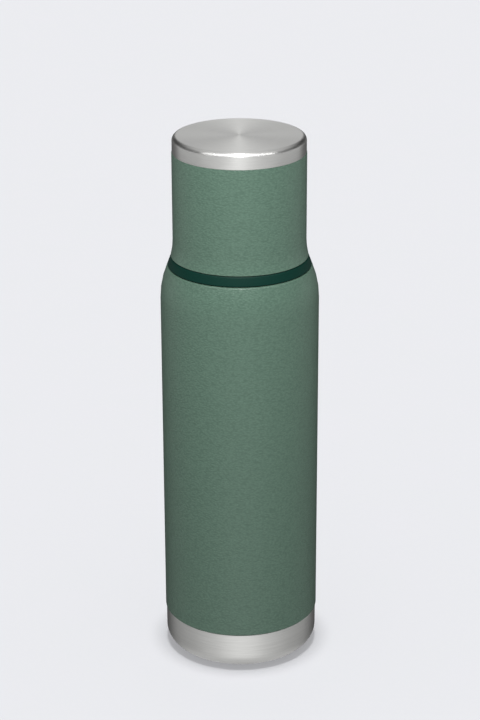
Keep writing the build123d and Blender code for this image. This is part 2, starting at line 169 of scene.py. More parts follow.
class MeshMaker:
    """Collects the closed shells of one piece and makes its object."""

    def __init__(self) -> None:
        """Starts with no points and no faces."""
        self.points: list[Triple] = []
        self.faces: list[tuple[int, ...]] = []

    def turn(
        self,
        outline: Outline,
        swell: Optional[Swell] = None,
        flats: int = FLATS,
        centre: Pair = (0.0, 0.0),
    ) -> "MeshMaker":
        """Turns a closed outline about an upright axis.

        Args:
            outline: points of radius and height in millimetres; two on the axis close a solid.
            swell: gives the extra radius at an angle, radius and height, for ribs.
            flats: how many flats go round.
            centre: where the axis stands, in millimetres.

        Returns:
            This maker.
        """
        rings: list[list[int]] = []
        middle_x, middle_y = centre
        for r, z in outline:
            first = len(self.points)
            if r < ON_AXIS:
                self.points.append((middle_x * MM, middle_y * MM, z * MM))
                rings.append([first] * flats)
                continue
            for flat in range(flats):
                angle = 2 * math.pi * flat / flats
                wide = r + (swell(angle, r, z) if swell else 0.0)
                x = middle_x + wide * math.cos(angle)
                y = middle_y + wide * math.sin(angle)
                self.points.append((x * MM, y * MM, z * MM))
            rings.append(list(range(first, first + flats)))
        for index, low in enumerate(rings):
            high = rings[(index + 1) % len(rings)]
            for flat in range(flats):
                following = (flat + 1) % flats
                corners = (low[flat], low[following], high[following], high[flat])
                face = tuple(dict.fromkeys(corners))
                if len(face) > 2:
                    self.faces.append(face)
        return self

    def ridge(
        self, thread: "Thread", root: float, crest: float, low: float, turn: float,
    ) -> "MeshMaker":
        """Adds one raised thread ridge with run-out at both ends.

        Args:
            thread: the thread's sizes.
            root: radius of the wall that the ridge stands on, in millimetres.
            crest: radius of the ridge's top, in millimetres.
            low: height of the ridge's middle at its start, in millimetres.
            turn: angle at which it starts, in radians.

        Returns:
            This maker.
        """
        sink = thread.sink if crest < root else -thread.sink
        first = len(self.points)
        for step in range(RIDGE_STEPS + 1):
            share = step / RIDGE_STEPS
            angle = turn + thread.span * share
            z = low + thread.lead * thread.span * share / (2 * math.pi)
            runout = min(share, 1 - share) * thread.span / thread.runout
            stand = math.sin(min(1.0, runout) * math.pi / 2)
            top = root + (crest - root) * stand
            section = (
                (root + sink, z - thread.base / 2),
                (top, z - thread.crest / 2),
                (top, z + thread.crest / 2),
                (root + sink, z + thread.base / 2),
            )
            for r, height in section:
                x = r * MM * math.cos(angle)
                y = r * MM * math.sin(angle)
                self.points.append((x, y, height * MM))
        for step in range(RIDGE_STEPS):
            here = first + RIDGE_SIDES * step
            beyond = here + RIDGE_SIDES
            for side in range(RIDGE_SIDES):
                following = (side + 1) % RIDGE_SIDES
                self.faces.append((here + side, here + following, beyond + following, beyond + side))
        for end in (first, first + RIDGE_SIDES * RIDGE_STEPS):
            self.faces.append(tuple(range(end, end + RIDGE_SIDES)))
        return self

    def threads(self, thread: "Thread", root: float, crest: float, low: float) -> "MeshMaker":
        """Adds one ridge for each start of a thread, evenly round the axis.

        Args:
            thread: the thread's sizes.
            root: radius of the wall in millimetres.
            crest: radius of the ridges' tops in millimetres.
            low: height of each ridge's middle at its start, in millimetres.

        Returns:
            This maker.
        """
        for start in range(thread.starts):
            self.ridge(thread, root, crest, low, 2 * math.pi * start / thread.starts)
        return self

    def piece(self, name: str) -> bpy.types.Object:
        """Makes the object, with outward faces and smooth shading between its edges.

        Args:
            name: the piece's name.

        Returns:
            The new object, linked to the scene.
        """
        mesh = bpy.data.meshes.new(name)
        mesh.from_pydata(self.points, [], self.faces)
        shape = bmesh.new()
        shape.from_mesh(mesh)
        bmesh.ops.recalc_face_normals(shape, faces=shape.faces)
        shape.to_mesh(mesh)
        shape.free()
        smooth(mesh)
        obj = bpy.data.objects.new(name, mesh)
        bpy.context.scene.collection.objects.link(obj)
        return obj


def smooth(mesh: bpy.types.Mesh) -> None:
    """Shades a mesh smooth, and keeps its edges sharp where it turns by more than the smooth angle.

    Args:
        mesh: the mesh to shade.
    """
    mesh.polygons.foreach_set("use_smooth", [True] * len(mesh.polygons))
    mesh.set_sharp_from_angle(angle=SMOOTH_ANGLE)


def cut_window(piece: bpy.types.Object, size: Triple, centre: Triple, edge: float) -> None:
    """Cuts a round-cornered window through a wall.

    Args:
        piece: the piece to cut.
        size: the window block's sizes in millimetres, along X, Y and Z.
        centre: its centre in millimetres.
        edge: the rounding of the window's corners in millimetres.
    """
    block = bmesh.new()
    scale = Matrix.Diagonal((*(side * MM for side in size), 1))
    place = Matrix.Translation([value * MM for value in centre])
    bmesh.ops.create_cube(block, size=1.0, matrix=place @ scale)
    along = []
    for side in block.edges:
        start, end = (corner.co for corner in side.verts)
        if abs((start - end).normalized().x) > NEARLY_ALONG:
            along.append(side)
    bmesh.ops.bevel(
        block, geom=along, offset=edge * MM, segments=WINDOW_ARC_STEPS, profile=TRUE_ARC, affect="EDGES")
    mesh = bpy.data.meshes.new("window")
    block.to_mesh(mesh)
    block.free()
    cutter = bpy.data.objects.new("window", mesh)
    bpy.context.scene.collection.objects.link(cutter)
    modifier = piece.modifiers.new("window", "BOOLEAN")
    modifier.operation = "DIFFERENCE"
    modifier.solver = "EXACT"
    modifier.object = cutter
    bpy.context.view_layer.update()
    graph = bpy.context.evaluated_depsgraph_get()
    cut = bpy.data.meshes.new_from_object(piece.evaluated_get(graph))
    piece.modifiers.clear()
    piece.data = cut
    smooth(cut)
    bpy.data.objects.remove(cutter)


# ---------------------------------------------------------------- material nodes
def linear(colour: str) -> tuple[float, float, float, float]:
    """Turns an sRGB hex colour such as #3d5c4a into linear red, green, blue and alpha.

    Args:
        colour: the hex colour.

    Returns:
        The linear colour.
    """
    channels = []
    for byte in bytes.fromhex(colour.lstrip("#")):
        value = byte / 255
        if value <= SRGB_KNEE:
            channels.append(value / SRGB_SLOPE)
        else:
            channels.append(((value + SRGB_OFFSET) / (1 + SRGB_OFFSET)) ** SRGB_POWER)
    return (*channels, 1.0)


def add_node(
    tree: bpy.types.NodeTree,
    kind: str,
    inputs: Optional[dict[Union[str, int], Input]] = None,
    **settings: object,
) -> bpy.types.Node:
    """Adds one node with its settings, and sets or links its inputs.

    Args:
        tree: the node tree.
        kind: the node's type name.
        inputs: values or output sockets for the node's inputs, by name or index.
        settings: the node's own properties.

    Returns:
        The new node.
    """
    node = tree.nodes.new(kind)
    for name, value in settings.items():
        setattr(node, name, value)
    for name, value in (inputs or {}).items():
        if isinstance(value, bpy.types.NodeSocket):
            tree.links.new(value, node.inputs[name])
        else:
            node.inputs[name].default_value = value
    return node


def start_material(name: str) -> tuple[bpy.types.Material, bpy.types.NodeTree, bpy.types.Node]:
    """Starts a material with one principled shader joined to its output.

    Args:
        name: the material's name.

    Returns:
        The material, its node tree and its shader node.
    """
    material = bpy.data.materials.new(name)
    material.use_nodes = True
    tree = material.node_tree
    tree.nodes.clear()
    shader = add_node(tree, "ShaderNodeBsdfPrincipled")
    add_node(tree, "ShaderNodeOutputMaterial", {"Surface": shader.outputs["BSDF"]})
    return material, tree, shader


@dataclass(frozen=True, kw_only=True)
class Finish:
    """A real material with the way its surface was made.

    Its roughness runs between a smoother and a rougher value, and a fine relief breaks up the light.
    """

    name: str
    roughness: float
    relief_mm: float
    smoother: float = 0.06
    rougher: float = 0.06
    relief_strength: float = 0.5
    sunken: bool = False

    def material(self) -> bpy.types.Material:
        """Makes the material."""
        raise NotImplementedError

    def dress(
        self,
        tree: bpy.types.NodeTree,
        shader: bpy.types.Node,
        tint: bpy.types.NodeSocket,
        colours: tuple[str, str],
        gloss: bpy.types.NodeSocket,
        height: bpy.types.NodeSocket,
    ) -> None:
        """Joins colour, roughness and relief to the shader.

        Args:
            tree: the node tree.
            shader: the shader node.
            tint: how much of the second colour shows, 0 to 1.
            colours: the two hex colours.
            gloss: the pattern that the roughness follows.
            height: the pattern that the relief follows.
        """
        first, second = colours
        colour = add_node(tree, "ShaderNodeMix", {
            "Factor": tint,
            "A": linear(first),
            "B": linear(second),
        }, data_type="RGBA")
        rough = add_node(tree, "ShaderNodeMapRange", {
            "Value": gloss,
            "To Min": max(self.roughness - self.smoother, ROUGHNESS_LEAST),
            "To Max": min(self.roughness + self.rougher, ROUGHNESS_MOST),
        })
        bump = add_node(tree, "ShaderNodeBump", {
            "Height": height,
            "Strength": self.relief_strength,
            "Distance": self.relief_mm * MM,
        }, invert=self.sunken)
        tree.links.new(colour.outputs["Result"], shader.inputs["Base Color"])
        tree.links.new(rough.outputs[0], shader.inputs["Roughness"])
        tree.links.new(bump.outputs[0], shader.inputs["Normal"])


@dataclass(frozen=True, kw_only=True)
class HammertoneLacquer(Finish):
    """Stoved hammertone lacquer sprayed on steel.

    The film draws up into shallow pebbles about 1.5 mm wide, so the eye gets a fine leathery grain,
    paler on the pebbles and darker in the valleys, with a broad satin sheen. The darker valleys are partly
    the lacquer's own mottle and partly painted shade, as the colour follows the sunken relief.
    """

    name: str = "hammertone_lacquer"
    pebble: str = "#516a5c"
    # Darker colour of the sunken valleys: the lacquer's own mottle with painted shade in it.
    valley_tone_and_painted_shade: str = "#445c4f"
    pebble_mm: float = 1.5
    smoothness: float = 0.8
    flatten: float = 2.0
    drift_pebbles: float = 2.2
    drift_detail: float = 2.0
    speck_mm: float = 0.85
    speck_detail: float = 3.0
    speck_share: float = 0.5
    tint_from: float = 0.35
    tint_to: float = 0.95
    relief_mm: float = 0.25
    relief_strength: float = 0.6
    sunken: bool = True
    roughness: float = 0.36
    smoother: float = 0.05
    rougher: float = 0.07
    ior: float = 1.5
    gloss_level: float = 0.35

    def material(self) -> bpy.types.Material:
        """Makes the lacquer. Its pebbles are drawn wider than tall.

        Returns:
            The lacquer's material.
        """
        material, tree, shader = start_material(self.name)
        place = add_node(tree, "ShaderNodeVectorMath", {
            0: add_node(tree, "ShaderNodeTexCoord").outputs["Object"],
            1: (1.0, 1.0, self.flatten),
        }, operation="MULTIPLY").outputs[0]
        drift = add_node(tree, "ShaderNodeTexNoise", {
            "Vector": place,
            "Scale": 1 / (self.drift_pebbles * self.pebble_mm * MM),
            "Detail": self.drift_detail,
        })
        bent = add_node(tree, "ShaderNodeVectorMath", {
            0: drift.outputs["Color"],
            "Scale": self.pebble_mm * MM,
        }, operation="SCALE")
        shifted = add_node(tree, "ShaderNodeVectorMath", {0: place, 1: bent.outputs[0]}, operation="ADD")
        pebbles = add_node(tree, "ShaderNodeTexVoronoi", {
            "Vector": shifted.outputs[0],
            "Scale": 1 / (self.pebble_mm * MM),
            "Smoothness": self.smoothness,
        }, feature="SMOOTH_F1")
        specks = add_node(tree, "ShaderNodeTexNoise", {
            "Vector": place,
            "Scale": 1 / (self.speck_mm * MM),
            "Detail": self.speck_detail,
        }).outputs["Fac"]
        height = add_node(tree, "ShaderNodeMath", {
            0: specks,
            1: self.speck_share,
            2: pebbles.outputs["Distance"],
        }, operation="MULTIPLY_ADD").outputs[0]
        # The tint follows the relief's height, so the sunken valleys take the darker colour: partly the
        # lacquer's own mottle, partly painted shade.
        tint = add_node(tree, "ShaderNodeMapRange", {
            "Value": height,
            "From Min": self.tint_from,
            "From Max": self.tint_to,
        }).outputs[0]
        shader.inputs["IOR"].default_value = self.ior
        shader.inputs["Specular IOR Level"].default_value = self.gloss_level
        self.dress(tree, shader, tint, (self.pebble, self.valley_tone_and_painted_shade), specks, height)
        return material


class Grain(Enum):
    """Which way the polishing lines run on steel."""

    ROUND = "round the axis"
    NONE = "no lines"


@dataclass(frozen=True, kw_only=True)
class LatheBrushedSteel(Finish):
    """Stainless steel brushed with an abrasive pad while it spins.

    The lines are circles round the axis, so light is drawn out across them: a bright band on a
    wall, and a bow tie on a flat end.
    """

    colour: str = "#cdcdcb"
    dark: str = "#bebebc"
    roughness: float = 0.34
    smoother: float = 0.04
    rougher: float = 0.04
    pull: float = 0.75
    line_mm: float = 0.35
    line_detail: float = 4.0
    line_roughness: float = 0.65
    wander_lines: float = 3.0
    tint_from: float = 0.3
    tint_to: float = 0.7
    relief_mm: float = 0.003
    grain: Grain = Grain.ROUND

    def material(self) -> bpy.types.Material:
        """Makes the steel. Real lines, about 0.05 mm apart, are too fine to show, so they are drawn coarser.

        Returns:
            The steel's material.
        """
        material, tree, shader = start_material(self.name)
        place = add_node(tree, "ShaderNodeTexCoord").outputs["Object"]
        parts = add_node(tree, "ShaderNodeSeparateXYZ", {0: place})
        squares = [
            add_node(tree, "ShaderNodeMath", {
                0: parts.outputs[axis],
                1: parts.outputs[axis],
            }, operation="MULTIPLY").outputs[0]
            for axis in "XY"
        ]
        radius = add_node(tree, "ShaderNodeMath", {0: squares[0], 1: squares[1]}, operation="ADD")
        radius = add_node(tree, "ShaderNodeMath", {0: radius.outputs[0]}, operation="SQRT")
        angle = add_node(tree, "ShaderNodeMath", {
            0: parts.outputs["Y"],
            1: parts.outputs["X"],
        }, operation="ARCTAN2")
        swing = add_node(tree, "ShaderNodeMath", {0: angle.outputs[0]}, operation="COSINE")
        slow = add_node(tree, "ShaderNodeMath", {
            0: swing.outputs[0],
            1: self.wander_lines * self.line_mm * MM,
        }, operation="MULTIPLY")
        across = add_node(tree, "ShaderNodeCombineXYZ", {
            "X": radius.outputs[0],
            "Y": slow.outputs[0],
            "Z": parts.outputs["Z"],
        })
        lines = add_node(tree, "ShaderNodeTexNoise", {
            "Vector": across.outputs[0],
            "Scale": 1 / (self.line_mm * MM),
            "Detail": self.line_detail,
            "Roughness": self.line_roughness,
        }).outputs["Fac"]
        tint = add_node(tree, "ShaderNodeMapRange", {
            "Value": lines,
            "From Min": self.tint_from,
            "From Max": self.tint_to,
        }).outputs[0]
        shader.inputs["Metallic"].default_value = 1.0
        if self.grain is Grain.ROUND:
            shader.inputs["Anisotropic"].default_value = self.pull
            shader.inputs["Anisotropic Rotation"].default_value = ACROSS
            tangent = add_node(tree, "ShaderNodeTangent", direction_type="RADIAL", axis="Z")
            tree.links.new(tangent.outputs[0], shader.inputs["Tangent"])
        self.dress(tree, shader, tint, (self.dark, self.colour), lines, lines)
        return material


class Texture(Enum):
    """How a moulded or formed surface is broken up: the pattern, and its output that gives the height."""

    NOISE = ("ShaderNodeTexNoise", "Fac")
    CELLS = ("ShaderNodeTexVoronoi", "Distance")


@dataclass(frozen=True, kw_only=True)
class FormedSurface(Finish):
    """A moulded, pressed or cast surface with an even grain, clouded with two close colours."""

    colour: str
    shade: str
    grain_mm: float
    cloud_grains: float = 14.0
    cloud_detail: float = 3.0
    metallic: float = 0.0
    ior: float = 1.5
    gloss_level: float = 0.5
    texture: Texture = Texture.NOISE

    def material(self) -> bpy.types.Material:
        """Makes the surface.

        Returns:
            The surface's material.
        """
        material, tree, shader = start_material(self.name)
        place = add_node(tree, "ShaderNodeTexCoord").outputs["Object"]
        pattern, output = self.texture.value
        grain = add_node(tree, pattern, {"Vector": place, "Scale": 1 / (self.grain_mm * MM)})
        cloud = add_node(tree, "ShaderNodeTexNoise", {
            "Vector": place,
            "Scale": 1 / (self.cloud_grains * self.grain_mm * MM),
            "Detail": self.cloud_detail,
        })
        shader.inputs["Metallic"].default_value = self.metallic
        if self.metallic < 1:
            shader.inputs["IOR"].default_value = self.ior
            shader.inputs["Specular IOR Level"].default_value = self.gloss_level
        height = grain.outputs[output]
        self.dress(tree, shader, cloud.outputs["Fac"], (self.colour, self.shade), height, height)
        return material


class Slot(Enum):
    """The record's material slots."""

    COAT = "coat_green"
    BRUSHED = "brushed_steel"
    LINER = "liner_steel"
    SEAL_METAL = "seal_metal"
    FOIL = "foil"
    GETTER = "getter_metal"
    SILICONE = "silicone"
    RING = "ring_plastic"
    INNER = "inner_plastic"
    KNOB = "knob_plastic"
    FOAM = "foam"


# Hammertone lacquer stoved on the casing and the cup: a leathery green grain, with painted shade darkening
# its valleys, and a satin sheen.
COAT = HammertoneLacquer()
# Type 304 sheet brushed on a spinning arbor and left bare: pale, with light drawn out across the lines.
BARE_STEEL = LatheBrushedSteel(name="brushed_304_steel")
# The same sheet, deep-drawn and electropolished: smoother, with faint drawing lines.
DRAWN_STEEL = LatheBrushedSteel(
    name="drawn_304_steel", colour="#c9c8c4", dark="#b9b8b4", roughness=0.3, pull=0.35, line_mm=0.9,
    relief_mm=0.004)
# Turned or pressed small steel parts, tumbled: an even grey shine with no set direction.
PLAIN_STEEL = LatheBrushedSteel(
    name="tumbled_steel", colour="#bdbcb8", dark="#a9a8a4", roughness=0.38, line_mm=0.5, grain=Grain.NONE)
# Polypropylene moulded in a lightly spark-eroded tool: even, dull and nearly black green.
RING_PLASTIC = FormedSurface(
    name="green_polypropylene", colour="#072a23", shade="#062720", roughness=0.5, grain_mm=0.5,
    relief_mm=0.01, ior=1.49, gloss_level=0.08)
# The same plastic in natural grey for the parts that touch the drink: slightly waxy.
INNER_PLASTIC = FormedSurface(
    name="grey_polypropylene", colour="#8d908c", shade="#858884", roughness=0.45, grain_mm=0.6,
    relief_mm=0.01, ior=1.49)
# Compression-moulded silicone: dark, dull, a little dusty.
SILICONE = FormedSurface(
    name="black_silicone", colour="#1b1c1b", shade="#222322", roughness=0.62, grain_mm=0.7,
    relief_mm=0.01, ior=1.43)
# Rolled aluminium foil, crinkled where it was wrapped: bright, with broad creases.
FOIL = FormedSurface(
    name="aluminium_foil", colour="#dcdde0", shade="#c9cace", roughness=0.2, grain_mm=6.0,
    relief_mm=0.3, metallic=1.0)
# Pressed getter powder: dull and dark.
GETTER_POWDER = FormedSurface(
    name="pressed_getter_powder", colour="#3a3a3c", shade="#2e2e30", roughness=0.8, grain_mm=0.4,
    relief_mm=0.05, metallic=0.6)
# Sealing metal melted into the pumping hole: bright, smooth and a little rippled where it ran.
SEAL_METAL = FormedSurface(
    name="fused_sealing_metal", colour="#a9a8a6", shade="#9b9a98", roughness=0.2, grain_mm=1.5,
    relief_mm=0.05, metallic=1.0)
# Cut polyurethane foam: pale, soft-looking open cells.
FOAM = FormedSurface(
    name="polyurethane_foam", colour="#d8d2bd", shade="#c8c1a8", roughness=0.9, grain_mm=0.9,
    relief_mm=0.4, ior=1.45, texture=Texture.CELLS)
# Matte painted board for the studio floor: plain, grey and dull.
FLOOR_BOARD = FormedSurface(
    name="painted_board", colour="#89898c", shade="#88898b", roughness=0.85, grain_mm=3.0,
    relief_mm=0.01, ior=1.4)


class Workshop:
    """Makes each finish once, and dresses, places and reports pieces."""

    def __init__(self) -> None:
        """Starts with no materials made."""
        self.made: dict[str, bpy.types.Material] = {}

    def finish(self, finish: Finish) -> bpy.types.Material:
        """Gives the material of a finish.

        Args:
            finish: the finish.

        Returns:
            Its material, made on first use.
        """
        if finish.name not in self.made:
            self.made[finish.name] = finish.material()
        return self.made[finish.name]

    def place(self, piece: bpy.types.Object, body: str, finish: Finish, slot: Slot, node: str) -> None:
        """Dresses a new piece, hangs it on its body and lets it stand for a CAD node.

        Args:
            piece: the new piece.
            body: the CAD body that it rides on.
            finish: its finish.
            slot: the record slot of that finish; not used.
            node: the CAD node that it replaces.
        """
        piece.data.materials.clear()
        piece.data.materials.append(self.finish(finish))
        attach(piece, body)
        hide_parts(node)
        LOG.info("%s rides on %s, %d faces", piece.name, body, len(piece.data.polygons))

    def turned(self, name: str, outline: Outline, body: str, finish: Finish, slot: Slot, node: str) -> None:
        """Turns one closed outline into a piece and places it for a CAD node."""
        self.place(MeshMaker().turn(outline).piece(name), body, finish, slot, node)

    def keep(self, node: str, finish: Finish) -> None:
        """Gives a CAD node that stays visible its finish.

        Args:
            node: the CAD node's name.
            finish: its finish.
        """
        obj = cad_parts[node]
        material = self.finish(finish)
        if not obj.material_slots:
            obj.data.materials.append(material)
        for slot in obj.material_slots:
            slot.material = material
        LOG.info("%s kept from CAD with %s", node, material.name)


def reach(node: str) -> Triple:
    """Gives a CAD node's outer radius, lowest and highest level in millimetres.

    Args:
        node: the CAD node's name.

    Returns:
        The radius, the low level and the high level.
    """
    low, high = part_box(node)
    return high.x / MM, low.z / MM, high.z / MM


# ---------------------------------------------------------------- sub-assemblies
@dataclass
class Thread:
    """The three-start right-hand thread of neck, stopper and cup, in millimetres and radians."""

    starts: int = 3
    lead: float = 18.0
    base: float = 2.2
    crest: float = 1.2
    sink: float = 0.3
    span: float = math.radians(130.0)
    runout: float = math.radians(14.0)


@dataclass
class Casing:
    """The coated outer wall, from its lower edge over the shoulder to the short neck."""

    wall: float = 0.5
    lip: float = 0.18
    lip_inside: float = 0.1
    lip_h: float = 1.0
    shoulder_round: float = 48.7
    shoulder_slope: float = math.radians(22.84)
    ledge_r: float = 41.4
    ledge_drop: float = 4.6
    ledge_round: float = 1.6
    neck_r: float = 33.0
    neck_round: float = 1.0

    def build(self, shop: Workshop) -> None:
        """Turns the casing from its sheet outline and coats it.

        Args:
            shop: the workshop that dresses it.
        """
        body_r, low, high = reach("outer_shell")
        ledge = high - self.ledge_drop
        shoulder = ledge - (body_r - self.ledge_r) / math.tan(self.shoulder_slope)
        corners = [
            Corner(body_r, low + self.lip),
            Corner(body_r, shoulder, self.shoulder_round),
            Corner(self.ledge_r, ledge, self.ledge_round),
            Corner(self.neck_r, ledge, self.neck_round),
            Corner(self.neck_r, high),
        ]
        edge = rounded([
            Corner(body_r - self.wall, low + self.lip_h),
            Corner(body_r - self.wall, low, self.lip_inside),
            Corner(body_r, low, self.lip),
            Corner(body_r, low + self.lip_h),
        ], closed=False)
        outline = edge[1:-1] + sheet(corners, self.wall)[1:-1]
        shop.turned("casing_coated", outline, "flask", COAT, Slot.COAT, "outer_shell")


@dataclass
class Base:
    """The bare steel base with its rounded heel, its foot and the plate in its recess."""

    wall: float = 0.6
    outer_r: float = 45.0
    spigot_gap: float = 0.05
    edge_drop: float = 7.8
    edge_below: float = 0.1
    edge_round: float = 0.35
    groove: Triple = (44.55, 0.25, 0.9)
    groove_round: float = 0.05
    heel: float = 9.5
    foot_inner: float = 33.0
    foot_round: float = 1.2
    foot_inside_round: float = 0.4
    recess: float = 3.6
    disc_wall: float = 0.4
    disc_bead: tuple[float, ...] = (3.2, 2.6, 1.6, 1.0)
    disc_step: float = 0.45
    disc_bead_round: float = 0.5
    disc_edge_round: float = 0.9

    def build(self, shop: Workshop) -> None:
        """Turns the base cup and its plate.

        Args:
            shop: the workshop that dresses them.
        """
        spigot_top = reach("base_cup")[2]
        edge = spigot_top - self.edge_drop
        edge_low = edge - self.edge_below
        spigot_r = self.outer_r - self.spigot_gap
        groove_r, groove_low, groove_high = self.groove
        inner_r = spigot_r - self.wall
        thick = self.outer_r - inner_r
        outline = rounded([
            Corner(0, self.recess),
            Corner(self.foot_inner, self.recess, self.foot_round),
            Corner(self.foot_inner, 0, self.foot_round),
            Corner(self.outer_r, 0, self.heel),
            Corner(self.outer_r, edge_low, self.edge_round),
            Corner(groove_r, edge_low, self.groove_round),
            Corner(groove_r, edge + groove_low),
            Corner(spigot_r, edge + groove_high),
            Corner(spigot_r, spigot_top),
            Corner(inner_r, spigot_top),
            Corner(inner_r, thick, self.heel - thick),
            Corner(self.foot_inner + thick, thick, self.foot_inside_round),
            Corner(self.foot_inner + thick, self.recess + thick, self.foot_round + thick),
            Corner(0, self.recess + thick),
        ])
        shop.turned("base_brushed", outline, "flask", BARE_STEEL, Slot.BRUSHED, "base_cup")
        disc_r, low, high = reach("base_disc")
        foot_in, top_in, top_out, foot_out = (disc_r - inset for inset in self.disc_bead)
        plate = sheet([
            Corner(0, low),
            Corner(foot_in, low),
            Corner(top_in, low + self.disc_step, self.disc_bead_round),
            Corner(top_out, low + self.disc_step, self.disc_bead_round),
            Corner(foot_out, low, self.disc_bead_round),
            Corner(disc_r, low, self.disc_edge_round),
            Corner(disc_r, high),
        ], self.disc_wall)
        shop.turned("base_plate", plate, "flask", BARE_STEEL, Slot.BRUSHED, "base_disc")
        shop.keep("evacuation_plug", SEAL_METAL)


@dataclass
class InnerBottle:
    """The inner bottle, its bottom, and what sits in the vacuum space."""

    wall: float = 0.5
    body_r: float = 40.9
    shoulder: float = 206.0
    neck: float = 214.0
    shoulder_round: float = 16.0
    neck_round: float = 1.0
    lip_h: float = 0.5
    lip_inset: float = 0.1
    lip_round: float = 0.05
    bead: float = 0.22
    rim_h: float = 2.0
    ridge_depth: float = 1.2
    ridge_z: float = 228.0
    bottom_round: float = 11.0

    def build(self, shop: Workshop, thread: Thread) -> None:
        """Turns the inner bottle with its rolled neck thread.

        Args:
            shop: the workshop that dresses it.
            thread: the neck's thread.
        """
        _, seam, mouth = reach("inner_liner")
        neck_outer = reach("stopper_gasket")[0] - self.lip_inset
        tube_r = neck_outer - self.wall
        bore = tube_r - self.wall
        lip = mouth - self.lip_h
        outside = rounded([
            Corner(self.body_r, seam),
            Corner(self.body_r, self.shoulder, self.shoulder_round),
            Corner(tube_r, self.neck, self.neck_round),
            Corner(tube_r, lip),
        ], closed=False)
        rim = rounded([
            Corner(tube_r, lip),
            Corner(neck_outer, lip, self.lip_round),
            Corner(neck_outer, mouth, self.bead),
            Corner(bore, mouth, self.bead),
            Corner(bore, mouth - self.rim_h),
        ], closed=False)
        inside = sheet([
            Corner(self.body_r, seam),
            Corner(self.body_r, self.shoulder, self.shoulder_round),
            Corner(tube_r, self.neck, self.neck_round),
            Corner(tube_r, mouth - self.rim_h),
        ], self.wall)
        half = len(inside) // 2
        outline = outside + rim[1:-1] + inside[half:]
        bottle = MeshMaker().turn(outline)
        bottle.threads(thread, bore, bore - self.ridge_depth, self.ridge_z)
        shop.place(bottle.piece("bottle_drawn"), "flask", DRAWN_STEEL, Slot.LINER, "inner_liner")
        radius, low, high = reach("liner_bottom")
        dish = sheet([
            Corner(0, low),
            Corner(radius, low, self.bottom_round),
            Corner(radius, high),
        ], self.wall)
        shop.turned("bottle_bottom", dish, "flask", DRAWN_STEEL, Slot.LINER, "liner_bottom")
        shop.keep("radiation_foil", FOIL)
        shop.keep("getter", GETTER_POWDER)
        shop.keep("getter_clip", PLAIN_STEEL)


